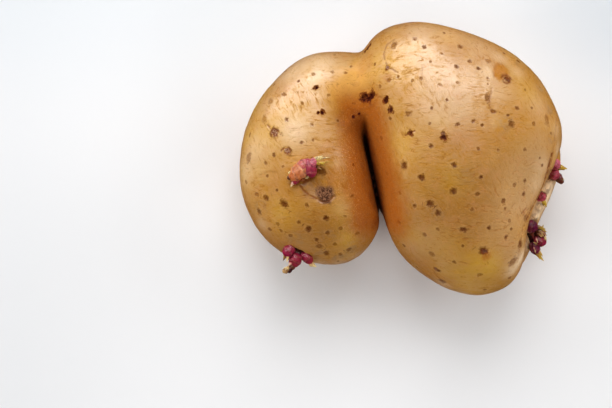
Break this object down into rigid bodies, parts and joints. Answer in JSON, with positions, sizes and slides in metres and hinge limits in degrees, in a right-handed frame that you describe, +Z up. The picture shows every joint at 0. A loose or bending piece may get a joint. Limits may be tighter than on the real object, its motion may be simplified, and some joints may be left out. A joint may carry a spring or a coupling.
{
  "type": "double potato with sprouts",
  "caption": "Raw potato grown as two lobes joined at a neck, with a narrow cleft between them and tufts of young sprouts in its eyes.",
  "frame": {"origin": "under the middle of the bounding box, on the surface that the potato rests on", "axes": "+X from the small lobe to the large lobe, +Y from the open cleft to the neck, +Z up"},
  "size_m": [0.1178, 0.0974, 0.0561],
  "materials": {
    "potato_skin": "satin",
    "sprout_skin": "satin"
  },
  "bodies": {
    "root": {"tuber": "potato_skin", "sprout_crown": "sprout_skin", "sprout_foot": "sprout_skin", "sprout_brow_upper": "sprout_skin", "sprout_brow_middle": "sprout_skin", "sprout_brow_lower": "sprout_skin"}
  },
  "joints": []
}
